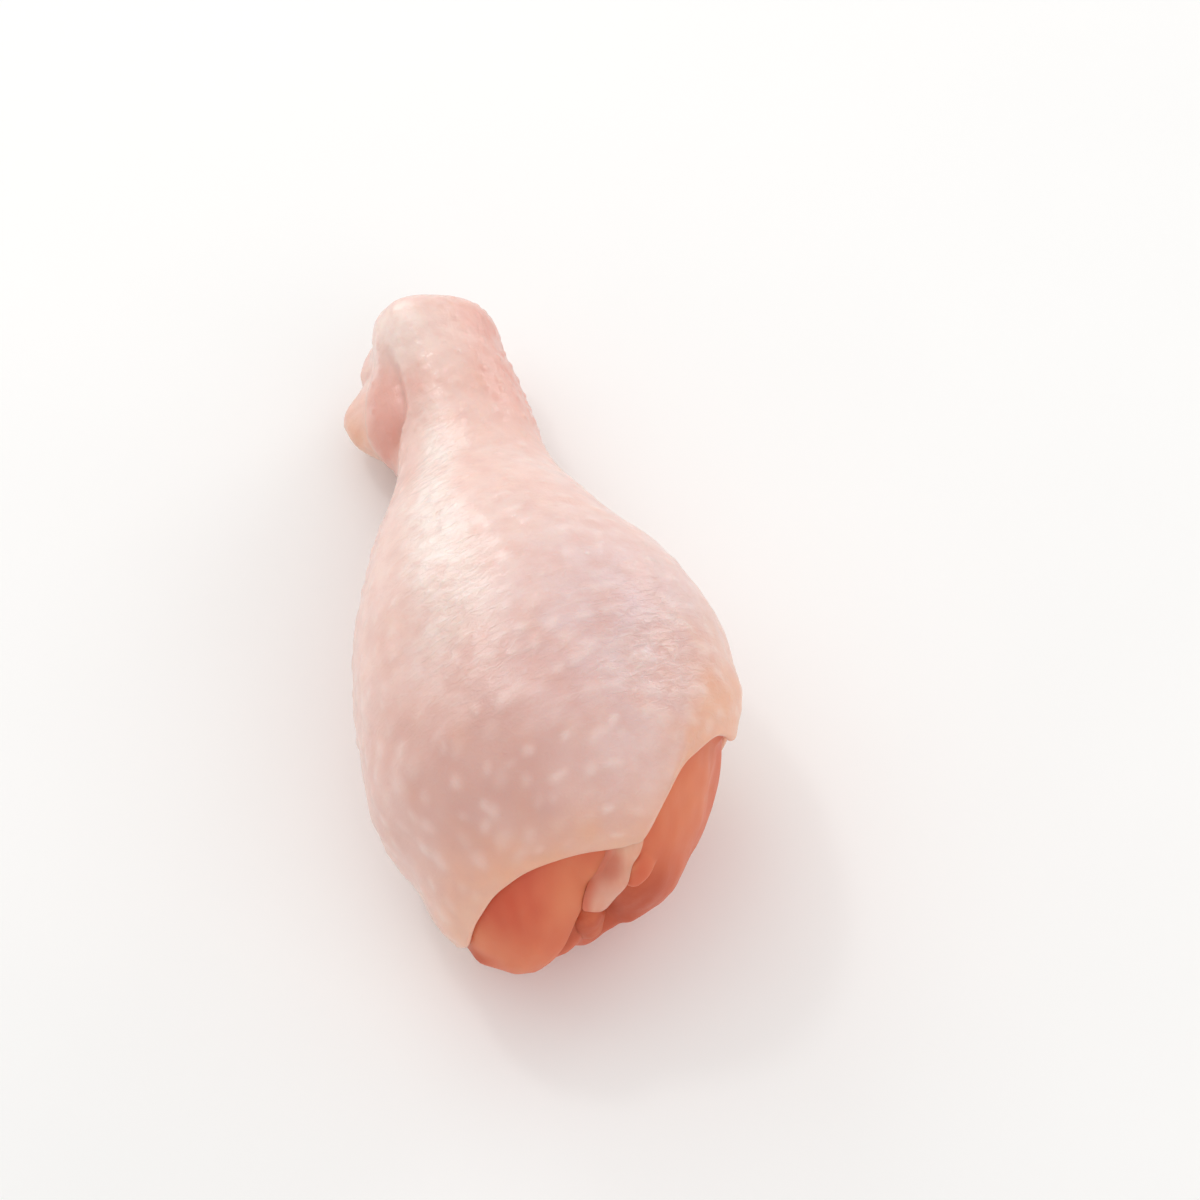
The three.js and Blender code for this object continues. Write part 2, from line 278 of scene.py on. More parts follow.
def core_point(angle, along, offset, floor):
    """A point over the leg's core. The angle goes round the leg; along runs from the knee pole over
    the sections to the ankle pole; the offset moves the point straight out from the middle of its
    section or round end."""
    angle, along, offset = np.broadcast_arrays(angle, along, offset)
    y = np.clip(FIRST_Y + along, FIRST_Y, LAST_Y)
    across, height, radius = section(angle, y)
    middle = np.stack([across, y, height], -1)
    knee = along < 0
    past = np.where(knee, -along / KNEE_TURN, np.maximum(along - BODY_LENGTH, 0) / ANKLE_TURN)
    side = np.maximum(np.cos(past), 0)
    end = np.sin(past)
    power = np.where(knee, KNEE_POWER, ANKLE_POWER)
    depth = np.where(knee, KNEE_DEPTH, ANKLE_DEPTH)
    cap = ((side / radius) ** power + (end / depth) ** power) ** (-1 / power)
    direction = np.stack([side * np.cos(angle), np.where(knee, -end, end), side * np.sin(angle)], -1)
    swollen = soft_largest(np.array([cap] + [lobe_reach(middle, direction, lobe) for lobe in LOBES]))
    reach = cap + (swollen - cap) * smooth_step(-along, 0, LOBE_FADE) + offset
    point = middle + direction * reach[..., None]
    point[..., 2] = press_on_floor(point[..., 2] - floor) + floor
    return point


def rim_at(angle):
    """Place along the leg of the skin's cut edge."""
    return smooth_curve(np.degrees(angle) % 360, RIM[:, 0], RIM[:, 1], closed=True)


def flare_at(angle, along):
    """How far the skin lifts off the meat at the right-hand corner of its cut edge: a bell along the
    leg, less a lower one where the skin draws in, times a bell round it."""
    lift = FLARE_HEIGHT * bell(along - FLARE_ALONG, FLARE_REACH)
    waist = WAIST_DEPTH * bell(along - WAIST_ALONG, WAIST_REACH)
    return (lift - waist) * bell(turn_from(angle, FLARE_ANGLE), FLARE_SPREAD)


def skin_point(angle, along, offset):
    """A point of the skin at an offset from the meat, pressed flat where it meets the floor."""
    return core_point(angle, along, offset, SKIN_OUTSIDE - np.clip(offset, 0, SKIN_OUTSIDE))


def meat_point(angle, along, offset=0.0):
    """A point of the meat, which lies one skin's thickness over the floor."""
    return core_point(angle, along, offset, SKIN_OUTSIDE)


def column_angles(columns):
    """Angles round the leg, closer together at the corner of the skin's tongue."""
    even = np.linspace(0, 2 * np.pi, columns, endpoint=False)
    return np.radians(GATHER_ANGLE) + even - GATHER * np.sin(even)


def closed_mesh(name, rows, masks):
    """A mesh through rows of points. Neighbouring rows are joined by four-sided faces round the
    piece, and the first and last rows, each a single point, by fans. Each mask becomes a number on
    every point."""
    columns = rows.shape[1]
    ring = np.arange(1, 1 + (len(rows) - 2) * columns).reshape(-1, columns)
    beside = np.roll(ring, -1, axis=1)
    last = ring.max() + 1
    quads = np.stack([ring[:-1], ring[1:], beside[1:], beside[:-1]], -1).reshape(-1, 4)
    first_fan = np.stack([np.zeros_like(ring[0]), ring[0], beside[0]], -1)
    last_fan = np.stack([ring[-1], np.full_like(ring[0], last), beside[-1]], -1)

    def per_point(values):
        """The grid's values in the order of the mesh's points, with one value for each end row."""
        return np.concatenate([values[:1, 0], values[1:-1].reshape(-1, *values.shape[2:]), values[-1:, 0]])

    points = (per_point(rows) - MIDDLE) * MM
    mesh = bpy.data.meshes.new(name)
    mesh.from_pydata(points.tolist(), [], first_fan.tolist() + quads.tolist() + last_fan.tolist())
    for mask, values in masks.items():
        numbers = mesh.attributes.new(mask, "FLOAT", "POINT")
        numbers.data.foreach_set("value", per_point(values).astype(np.float32))
    mesh.shade_smooth()
    return mesh


def add_piece(name, mesh, finish, node):
    """Puts a finished mesh into the scene in place of its solid, on the one body."""
    piece = bpy.data.objects.new(name, mesh)
    bpy.context.scene.collection.objects.link(piece)
    mesh.materials.append(finish)
    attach(piece, "root")
    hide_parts(node)


# Follicles of the skin and bubbles of the ankle: rows and steps of the lattice, half sizes of one
# dome, seed. The bubbles take over between two places on the leg.
FOLLICLES = (4.0, 4.3, 1.35, 0.85, 11)
BUBBLES = (2.3, 2.5, 0.95, 0.95, 12)
BUBBLES_START, BUBBLES_FULL = 26.0, 38.0
FOLLICLE_HEIGHT, BUBBLE_HEIGHT, CREASE_DEPTH = 0.24, 0.3, 0.12
# Seeded draws: how many, and the ranges of a dome's shift in the lattice, size, strength and turn.
DRAWS = 4096
DOME_SHIFT, DOME_SIZES, DOME_STRENGTHS, DOME_TURN = 0.34, (0.6, 1.25), (0.25, 1.0), 0.4
# The power of a dome's fall, and the limit of the domes' sum.
DOME_POWER, DOME_LIMIT = 2.8, 1.2
# The least number of domes in a row, and the numbers that give each row its own run of draws.
LEAST_DOMES, ROW_BASE, ROW_STRIDE = 6, 90, 151
# The least share of the leg's girth that is reckoned with at its poles.
LEAST_GIRTH = 0.05
# Between these angles the domes' long side turns from across the leg to along it.
LEAN_START, LEAN_END = 20.0, 190.0
# The domes shrink from one size to another between two places along the leg.
LARGE_DOME, DOME_SHRINKING, SHRINK_START, SHRINK_END = 1.2, 0.55, 2.0, 46.0

# Unevenness of the skin: the length and the seed of its waves, and their height.
LARGE_WAVES, LARGE_HEIGHT = (17.0, 1), 0.13
SMALL_WAVES, SMALL_HEIGHT = (6.5, 2), 0.05
RIM_WAVES = (8.0, 3)
CREASE_WAVES, CREASE_WIDTH = ((9.0, 3.4, 9.0), 4), 0.5
WOBBLE_ALONG, WOBBLE_ROUND, WOBBLE = (3.5, 13), (3.5, 14), 0.12
# The follicles stop this far from the cut edge, and all relief fades by this power at the ankle's
# pole.
SMOOTH_EDGE, POLE_FADE = 2.0, 8

# Fields of the skin's colour and sheen: middle angle, spread, middle place on the leg, reach.
LILAC_BELLY = (62, 46, -19, 22)
ROSE_BELLY = (120, 52, -40, 18)
PEACH_CORNER = (12, 36, -28, 16)
PEACH_HEEL = (200, 24, 46, 8)
RED_PATCH = (121, 11, 44, 3.2)
SHINY_RIGHT = (58, 24, -22, 13)
SHINY_LEFT = (114, 24, -20, 10)
# The neck's painted highlight streak and its shiny creases are centred at this angle and place.
NECK_ANGLE, NECK_PLACE = 117, 12
# Spots on the knob's upper left, middle and reach: the knuckle's creamy skin with painted light over
# it, and painted light where the neck ends.
CREAM_AND_LIGHT_KNUCKLE = ((-10.3, 56.4, 25.0), 7.0)
LIGHT_NECK_END = ((-4.5, 50.0, 26.5), 8.0)
# Waves of the skin's colours: length and seed.
MOTTLE_WAVES, BLOTCH_WAVES, GLINT_WAVES = (15.0, 5), (4.5, 9), (5.0, 10)
PEACH_WAVES, ROSE_WAVES = (7.0, 6), (9.0, 8)


def girth_radius(along):
    """Mean radius of the leg at a place along it, shrinking over the round ends."""
    y = np.clip(FIRST_Y + along, FIRST_Y, LAST_Y)
    half_width, top, bottom = (smooth_curve(y, SECTIONS[:, 0], SECTIONS[:, k]) for k in (1, 3, 4))
    past = np.where(along < 0, -along / KNEE_TURN, np.maximum(along - BODY_LENGTH, 0) / ANKLE_TURN)
    return (half_width + (top - bottom) / 2) / 2 * np.maximum(np.cos(past), LEAST_GIRTH)


def domes(angle, along, row_pitch, step, long, short, seed):
    """Oval domes on a lattice of rows round the leg, each shifted, turned, sized and weakened by
    seeded draws. The long side lies across the leg on its right and turns to lie along it on its
    left, and the domes shrink towards the ankle. Only the nine lattice places nearest to a point
    are summed."""
    random = np.random.default_rng(seed)
    shift_round = random.uniform(-DOME_SHIFT, DOME_SHIFT, DRAWS)
    shift_along = random.uniform(-DOME_SHIFT, DOME_SHIFT, DRAWS)
    size = random.uniform(*DOME_SIZES, DRAWS)
    strength = random.uniform(*DOME_STRENGTHS, DRAWS)
    turned = random.uniform(-DOME_TURN, DOME_TURN, DRAWS)
    base_lean = np.pi / 2 * smooth_step(np.degrees(angle) % 360, LEAN_START, LEAN_END)
    shrink = LARGE_DOME - DOME_SHRINKING * smooth_step(along, SHRINK_START, SHRINK_END)
    total = np.zeros(np.broadcast(angle, along).shape)
    for near_row in (-1, 0, 1):
        row = np.floor(along / row_pitch).astype(int) + near_row
        middle = (row + 0.5) * row_pitch
        girth = 2 * np.pi * girth_radius(middle)
        count = np.maximum(np.round(girth / step), LEAST_DOMES)
        place = (angle / (2 * np.pi)) % 1 * count + 0.5 * (row % 2)
        for near_column in (-1, 0, 1):
            column = np.floor(place) + near_column
            draw = ((row + ROW_BASE) * ROW_STRIDE + (column % count)).astype(int) % DRAWS
            to_left = (place - column - 0.5 - shift_round[draw]) * girth / count
            to_ankle = along - middle - shift_along[draw] * row_pitch
            lean = base_lean + turned[draw]
            lengthwise = to_ankle * np.sin(lean) - to_left * np.cos(lean)
            sideways = to_ankle * np.cos(lean) + to_left * np.sin(lean)
            away = np.hypot(lengthwise / long, sideways / short) / (size[draw] * shrink)
            total += strength[draw] * bell(away, 1, DOME_POWER)
    return np.minimum(total, DOME_LIMIT)


def field(angle, y, middle, spread, place, reach):
    """1 at a middle angle and a place on the leg, a bell round the leg times one along it."""
    return bell(turn_from(angle, middle), spread) * bell(y - place, reach)


def skin_masks(angle, along, points, dome, sheen):
    """Where the skin is creamy or carries painted highlight, lilac, rose, peach or pink, has follicles,
    shines or glints, as numbers from 0 to 1 on its points: sums of fields, with soft waves over some of
    them."""
    y = points[..., 1]
    mottle = waves(points, *MOTTLE_WAVES)
    blotch = smooth_step(waves(points, *BLOTCH_WAVES), -1.0, 1.8)
    from_rim = along - rim_at(angle)
    to_neck = turn_from(angle, NECK_ANGLE)
    # The neck's creamy streak is painted highlight, where the light from the upper left shines on its left
    # side.
    neck_highlight_band = 0.35 * bell(to_neck + 5, 40) + 0.6 * bell(to_neck, 12, 3)
    neck_highlight = neck_highlight_band * bell(y - NECK_PLACE, 27, 4)
    # The knuckle's creamy skin with painted light over it, and painted light where the neck ends, on the
    # side that faces the light.
    knob_cream_and_light = 0.75 * near(points, *CREAM_AND_LIGHT_KNUCKLE) + 0.35 * near(points, *LIGHT_NECK_END)
    rose = 0.85 * field(angle, y, *ROSE_BELLY) * (1 - 0.4 * bell(from_rim, 6))
    peach = 0.85 * bell(from_rim, 7.5) + 0.9 * field(angle, y, *PEACH_CORNER) + field(angle, y, *PEACH_HEEL)
    pad_colour = (0.75 + 0.35 * bell(y - 38, 4)) * bell(y - 44, 8.5, 3)
    pad = pad_colour * bell(pad_share(angle, np.minimum(y, LAST_Y)) - 0.4, 0.55, 4)
    off_tip = 1 - 0.6 * smooth_step(y, 57, 63)
    knob_right = 0.75 * bell(turn_from(angle, 31), 40) * smooth_step(y, 22, 48)
    knob_pink = knob_right * (1 + 0.4 * blotch) * off_tip
    under = smooth_step(-np.sin(angle), 0.1, 0.9) * (1 - smooth_step(y, 50, 61))
    glint_field = bell(turn_from(angle, 84), 34) * bell(y - 2, 24, 3)
    return {
        "cream_and_highlight": np.clip(neck_highlight + knob_cream_and_light + 0.06 * mottle, 0, 1),
        "lilac": np.clip(field(angle, y, *LILAC_BELLY) + 0.06 * mottle, 0, 1),
        "rose": np.clip(rose + 0.4 * under + 0.08 * waves(points, *ROSE_WAVES), 0, 1),
        "peach": np.clip(peach + 0.06 * waves(points, *PEACH_WAVES), 0, 1),
        "pink": np.clip(pad + 0.6 * field(angle, y, *RED_PATCH) + knob_pink, 0, 1),
        "follicle": np.clip(dome, 0, 1),
        "sheen": np.clip(sheen, 0, 1),
        "glint": glint_field * smooth_step(waves(points, *GLINT_WAVES), -0.2, 0.9),
    }


def sheen_at(angle, y):
    """Where the skin is creased and shines: the left of the neck and two fields of the belly."""
    neck = 1.4 * bell(turn_from(angle, NECK_ANGLE), 14, 3) * bell(y - NECK_PLACE, 26, 4)
    return neck + field(angle, y, *SHINY_RIGHT) + 0.6 * field(angle, y, *SHINY_LEFT)


def skin_mesh():
    """The sock: from the ankle inside to the cut edge, round its lip, and back outside to the ankle.
    The outside has soft unevenness, creases, follicles and the ankle's bubbles, and thins to the
    lip. At the lifted corner the lip reaches down to the meat."""
    angle = column_angles(SKIN_COLUMNS)[None, :]
    rim = rim_at(angle)
    rim = rim + RIM_WAVE * waves(skin_point(angle, rim, SKIN_OUTSIDE), *RIM_WAVES)
    to_ankle = np.linspace(0, 1, SKIN_ROWS)[:, None]
    along = rim + (ANKLE_POLE - rim) * to_ankle
    smooth = skin_point(angle, along, SKIN_OUTSIDE + flare_at(angle, along))
    y = smooth[..., 1]
    ankle = smooth_step(y, BUBBLES_START, BUBBLES_FULL)
    wobbly_along = along + WOBBLE * waves(smooth, *WOBBLE_ALONG)
    wobbly_angle = angle + WOBBLE * waves(smooth, *WOBBLE_ROUND) / girth_radius(along)
    dome = domes(wobbly_angle, wobbly_along, *FOLLICLES) * (1 - ankle)
    dome *= 1 - bell(along - rim, SMOOTH_EDGE)
    bubble = domes(angle, along, *BUBBLES) * ankle
    crease = bell(waves(smooth, *CREASE_WAVES), CREASE_WIDTH) * np.minimum(sheen_at(angle, y), 1)
    edge = bell(along - rim, EDGE_REACH)
    fade = 1 - to_ankle ** POLE_FADE
    uneven = LARGE_HEIGHT * waves(smooth, *LARGE_WAVES) + SMALL_HEIGHT * waves(smooth, *SMALL_WAVES)
    thinning = EDGE_THINNING + EDGE_CORNER_THINNING * flare_at(angle, rim)
    fine = FOLLICLE_HEIGHT * dome + BUBBLE_HEIGHT * bubble - CREASE_DEPTH * crease
    relief = (uneven + fine) * (1 - edge) * fade - thinning * edge
    outer = skin_point(angle, along, SKIN_OUTSIDE + flare_at(angle, along) + relief)

    lip_turn = np.linspace(np.pi, 0, LIP_ROWS + 2)[1:-1, None]
    lip_top = SKIN_OUTSIDE - thinning + flare_at(angle, rim)
    lip_half = (lip_top - EDGE_CLEARANCE) / 2
    lip_along = rim - LIP_REACH * np.sin(lip_turn)
    lip = skin_point(angle, lip_along, EDGE_CLEARANCE + lip_half * (1 + np.cos(lip_turn)))

    from_ankle = np.linspace(1, 0, INNER_ROWS)[:, None] ** INNER_GATHER
    inner_along = rim + (ANKLE_POLE - rim) * from_ankle
    from_edge = inner_along - rim
    lift = np.maximum(flare_at(angle, inner_along), 0) * smooth_step(from_edge, 0, LIFT_REACH)
    rise = (CLEARANCE - EDGE_CLEARANCE) * smooth_step(from_edge, 0, CLEARANCE_REACH)
    inner = skin_point(angle, inner_along, EDGE_CLEARANCE + rise + lift)

    rows = np.concatenate([inner, lip, outer])
    all_along = np.concatenate([inner_along, lip_along, along])
    all_domes = np.concatenate([np.zeros((INNER_ROWS + LIP_ROWS, SKIN_COLUMNS)), dome])
    sheen = sheen_at(angle, rows[..., 1])
    return closed_mesh("skin_sock", rows, skin_masks(angle, all_along, rows, all_domes, sheen))


# Small forms of the bare end: a filled valley along the strand, a lobe that comes out from under the
# strand, and bumps, each with its place, reach and height: a fold under the right lobe, a dent below
# it, a nub by the left edge and a dent under the strand's hollow. A groove drops off sharply right of
# the left lobe, at the plane through the knee end's middle and two places. The right side is trimmed
# back under the skin. The forms and the trim fade out between two distances from the cut edge.
VALLEY_TOP, VALLEY_FOOT = np.array([2.4, -48.0, 30.8]), np.array([-1.0, -51.8, 26.0])
VALLEY_REACH, VALLEY_FILL = 3.0, 0.7
SMALL_LOBE_TOP, SMALL_LOBE_TIP = np.array([11.2, -49.0, 32.1]), np.array([7.3, -50.2, 29.5])
SMALL_LOBE_REACH, SMALL_LOBE_HEIGHT = 1.8, 1.5
BUMPS = [
    [(6.0, -50.6, 15.5), 2.6, 1.5],
    [(2.8, -50.8, 12.0), 3.0, -1.5],
    [(-16.6, -52.2, 16.2), 2.0, 1.0],
    [(3.8, -48.8, 31.7), 2.3, -0.9],
]
GROOVE_TOP, GROOVE_FOOT, GROOVE_MIDDLE = (-1.3, -52.5, 25.0), (-5.4, -56.2, 19.0), (-3.4, -54.6, 17.0)
GROOVE_REACH, GROOVE_DEPTH, GROOVE_WALL, GROOVE_FLOOR, GROOVE_WIDTH = 7.5, 2.0, 1.1, 1.6, 4.8
TRIM_ANGLE, TRIM_SPREAD, TRIM_ALONG, TRIM_REACH, TRIM_DEPTH = 4.0, 28.0, -8.0, 9.0, 2.4
FORMS_FADE, TRIM_FADE = (-6.0, 0.5), (-1.5, 1.5)
# Fibres and unevenness of the meat: the lengths and the seed of their waves, and their height.
FIBRES, FIBRE_HEIGHT = ((3.2, 18.0, 4.5), 21), 0.04
MEAT_WAVES, MEAT_HEIGHT = (11.0, 22), 0.14
DEEP_WAVES = (14.0, 23)
# Fields of the meat's colour: middle and reach. The last three are brownish painted shade under the
# small lobe, by the nub and at the low end.
DEEP_LEFT = ((-11.0, -51.5, 30.5), 8.5)
PALE_BY_STRAND = ((-1.2, -51.0, 28.6), 5.5)
PALE_FOOT = ((-10.7, -56.7, 20.0), 7.0)
PALE_CORNER = ((-16.4, -52.9, 22.3), 3.5)
PALE_RIGHT = ((18.5, -41.0, 33.5), 12.0)
SHADE_UNDER_LOBE = ((10.0, -51.2, 26.0), 5.0)
SHADE_BY_NUB = ((-16.6, -52.2, 16.2), 2.4)
SHADE_LOW = ((5.0, -51.0, 19.0), 6.8)


def to_segment(points, start, end):
    """Distance from points to the straight line between two places, and the share of that line that
    lies behind them."""
    run = end - start
    share = np.clip((points - start) @ run / (run @ run), 0, 1)
    return np.linalg.norm(points - start - share[..., None] * run, axis=-1), share


def small_lobe_at(points):
    """The small lobe, a half round that grows from nothing to its tip: its height from 0 to 1, the
    distance from its middle line and the share of that line."""
    away, to_tip = to_segment(points, SMALL_LOBE_TOP, SMALL_LOBE_TIP)
    round_top = np.sqrt(np.clip(1 - (away / SMALL_LOBE_REACH) ** 2, 0, 1))
    return round_top * smooth_step(to_tip, 0, 0.7), away, to_tip


def groove_at(points):
    """The groove, from 0 to 1: nothing left of its plane, a steep wall, a floor and a gentle rise to
    the right."""
    across = np.cross(np.subtract(GROOVE_TOP, KNEE_MIDDLE), np.subtract(GROOVE_FOOT, KNEE_MIDDLE))
    beside = (points - KNEE_MIDDLE) @ (across / np.linalg.norm(across))
    wall = smooth_step(beside, 0, GROOVE_WALL) * (1 - smooth_step(beside, GROOVE_FLOOR, GROOVE_WIDTH))
    return wall * bell(np.linalg.norm(points - np.asarray(GROOVE_MIDDLE), axis=-1), GROOVE_REACH, 4)


def meat_relief(angle, along):
    """Height of the bare meat's small forms, soft fibres and unevenness, less the trim, fading to
    nothing under the skin."""
    points = meat_point(angle, along)
    from_rim = along - rim_at(angle)
    away, _ = to_segment(points, VALLEY_TOP, VALLEY_FOOT)
    relief = VALLEY_FILL * bell(away, VALLEY_REACH) + SMALL_LOBE_HEIGHT * small_lobe_at(points)[0]
    relief += FIBRE_HEIGHT * waves(points, *FIBRES) + MEAT_HEIGHT * waves(points, *MEAT_WAVES)
    relief += sum(height * near(points, place, reach) for place, reach, height in BUMPS)
    relief -= GROOVE_DEPTH * groove_at(points)
    trim = TRIM_DEPTH * field(angle, along, TRIM_ANGLE, TRIM_SPREAD, TRIM_ALONG, TRIM_REACH)
    forms = relief * (1 - smooth_step(from_rim, *FORMS_FADE))
    return forms - trim * (1 - smooth_step(from_rim, *TRIM_FADE))


def rail(edge, share):
    """Points of one edge of the strand at shares of its length: a smooth curve through its places
    on the meat."""
    angle, along, height = edge.T
    angle = np.radians(angle)
    places = meat_point(angle, along, height + meat_relief(angle, along))
    run = np.concatenate([[0], np.cumsum(np.linalg.norm(np.diff(places, axis=0), axis=1))])
    return np.stack([smooth_curve(share * run[-1], run, places[:, k]) for k in range(3)], -1)


def meat_mesh():
    """The meat: bare rows from the knee pole to just inside the skin's cut edge, then coarse rows
    inside the skin. Fields, the small lobe and the groove tint it: brownish painted shade under the
    small lobe, in the groove, by the nub and at the low end, and a painted highlight on the small
    lobe's lower edge."""
    angle = column_angles(MEAT_COLUMNS)[None, :]
    inside = rim_at(angle) + MEAT_INSIDE
    bare = KNEE_POLE + (inside - KNEE_POLE) * np.linspace(0, 1, BARE_ROWS)[:, None]
    hidden = inside + (ANKLE_POLE - inside) * np.linspace(0, 1, HIDDEN_ROWS + 1)[1:, None]
    along = np.concatenate([bare, hidden])
    smooth = meat_point(angle, along)
    rows = meat_point(angle, along, meat_relief(angle, along))
    small_lobe, from_lobe, to_tip = small_lobe_at(smooth)
    # A painted highlight along the small lobe's lower edge, laid in with the pale fields.
    lit_lobe_edge = bell(from_lobe - 0.85 * SMALL_LOBE_REACH, 0.3) * smooth_step(to_tip, 0.3, 0.8)
    deep = 0.25 + 0.75 * near(smooth, *DEEP_LEFT) + 0.1 * waves(smooth, *DEEP_WAVES) + 0.3 * small_lobe
    left_pale = 1.5 * near(smooth, *PALE_BY_STRAND) + near(smooth, *PALE_FOOT) + near(smooth, *PALE_CORNER)
    pale = 0.7 * left_pale + 0.8 * near(smooth, *PALE_RIGHT) + 0.5 * lit_lobe_edge
    pale += 0.05 * waves(smooth, *FIBRES)
    # Brownish painted shade: under the small lobe, at the low end, in the groove and by the nub, but not on
    # the lobe itself.
    shade_under_lobe = near(smooth, *SHADE_UNDER_LOBE) * (1 - smooth_step(small_lobe, 0, 0.4))
    brown_shade = near(smooth, *SHADE_LOW) + groove_at(smooth) + 0.8 * near(smooth, *SHADE_BY_NUB)
    brown_shade += 0.8 * shade_under_lobe - small_lobe
    masks = {"deep": np.clip(deep, 0, 1), "pale": np.clip(pale, 0, 1), "brown_shade": np.clip(brown_shade, 0, 1)}
    return closed_mesh("meat_core", rows, masks)


# The hollow on the strand's upper face, and its soft unevenness: length and seed of the waves.
RECESS, RECESS_REACH, RECESS_DEPTH = np.array([3.8, -48.8, 31.7]), 2.5, 0.9
STRAND_WAVES, STRAND_HEIGHT = ((3.0, 9.0, 7.0), 31), 0.05
# Unevenness of the knob.
KNOB_WAVES, KNOB_HEIGHT = (5.0, 41), 0.12
KNOB_SMALL_WAVES, KNOB_SMALL_HEIGHT = (1.8, 42), 0.03


def over_meat(points, clearance):
    """Moves points of the knee end straight out from its middle, at least to a clearance over the
    meat."""
    arm = points - KNEE_MIDDLE
    reach = np.linalg.norm(arm, axis=-1)
    angle = np.arctan2(arm[..., 2], arm[..., 0])
    along = -KNEE_TURN * np.arctan2(-arm[..., 1], np.hypot(arm[..., 0], arm[..., 2]))
    meat = np.linalg.norm(meat_point(angle, along, meat_relief(angle, along)) - KNEE_MIDDLE, axis=-1)
    return KNEE_MIDDLE + arm * np.maximum(1, (meat + clearance) / reach)[..., None]


def strand_mesh():
    """The strand: a band between its two edges, with a parabola above and half an ellipse below,
    round ends and a hollow on its upper face. That face lies at least a film's thickness over the
    meat, so its left side merges into it, in shape and in colour."""
    ends = np.linspace(0, np.pi, STRAND_ROWS)
    share = (1 - np.cos(ends)) / 2
    left, right = rail(STRAND_LEFT, share), rail(STRAND_RIGHT, share)
    course = (left + right) / 2
    half = (left - right) / 2
    tangent = np.gradient(course, axis=0)
    out = np.cross(half, tangent)
    out /= np.linalg.norm(out, axis=1, keepdims=True)
    turn = np.linspace(0, 2 * np.pi, STRAND_COLUMNS, endpoint=False)[None, :]
    fullness = np.sin(ends)[:, None] ** STRAND_ROUNDNESS
    sideways = fullness * np.cos(turn)
    upper = np.maximum(np.sin(turn), 0)
    crown = STRAND_CROWN * upper ** 2 * (1 - STRAND_SKEW * np.cos(turn))
    upright = fullness * (crown + STRAND_DEPTH * np.minimum(np.sin(turn), 0))
    rows = course[:, None] + sideways[..., None] * half[:, None] + upright[..., None] * out[:, None]
    recess = bell(np.linalg.norm(rows - RECESS, axis=-1), RECESS_REACH, 3.5) * smooth_step(upper, 0, 0.4)
    relief = STRAND_HEIGHT * waves(rows, *STRAND_WAVES) * fullness - RECESS_DEPTH * recess
    rows += relief[..., None] * out[:, None]
    film = STRAND_FILM * ((1 + FILM_DIP) * smooth_step(upper, 0, FILM_RISE) - FILM_DIP)
    rows = np.where(upper[..., None] > 0, over_meat(rows, film * fullness), rows)
    down = share[:, None]
    merging = smooth_step(np.cos(turn), 0.1, 1.0) + 0.35 * smooth_step(down, 0.82, 1)
    dull = bell(down - 0.74, 0.2) + 0 * turn
    masks = {"recess": recess, "merging": np.clip(merging, 0, 1), "dull": dull}
    return closed_mesh("tendon_strand", rows, masks)


def knob_mesh():
    """The knob: an ellipsoid from its low pole to its high pole with soft unevenness."""
    rise = np.linspace(-np.pi / 2, np.pi / 2, KNOB_ROWS)[:, None]
    turn = -np.linspace(0, 2 * np.pi, KNOB_COLUMNS, endpoint=False)[None, :]
    level = np.cos(rise)
    ball = np.stack([level * np.cos(turn), level * np.sin(turn), np.sin(rise) + 0 * turn], -1)
    smooth = KNOB_MIDDLE + ball * KNOB_RADII
    uneven = KNOB_HEIGHT * waves(smooth, *KNOB_WAVES)
    uneven += KNOB_SMALL_HEIGHT * waves(smooth, *KNOB_SMALL_WAVES)
    rows = KNOB_MIDDLE + ball * (KNOB_RADII + uneven[..., None])
    # The pale mask lightens the knob's underside, which leaves its top darker as painted shade under the
    # strand's end.
    return closed_mesh("cartilage_knob", rows, {"pale": smooth_step(-ball[..., 2], 0.2, 0.9)})


def linear(red, green, blue):
    """A colour given as seen on a screen, 0 to 255, turned by the sRGB curve into the linear colour
    that the shader takes."""
    seen = np.array([red, green, blue]) / 255
    low = seen / 12.92
    high = ((seen + 0.055) / 1.055) ** 2.4
    return (*np.where(seen <= 0.04045, low, high).tolist(), 1.0)


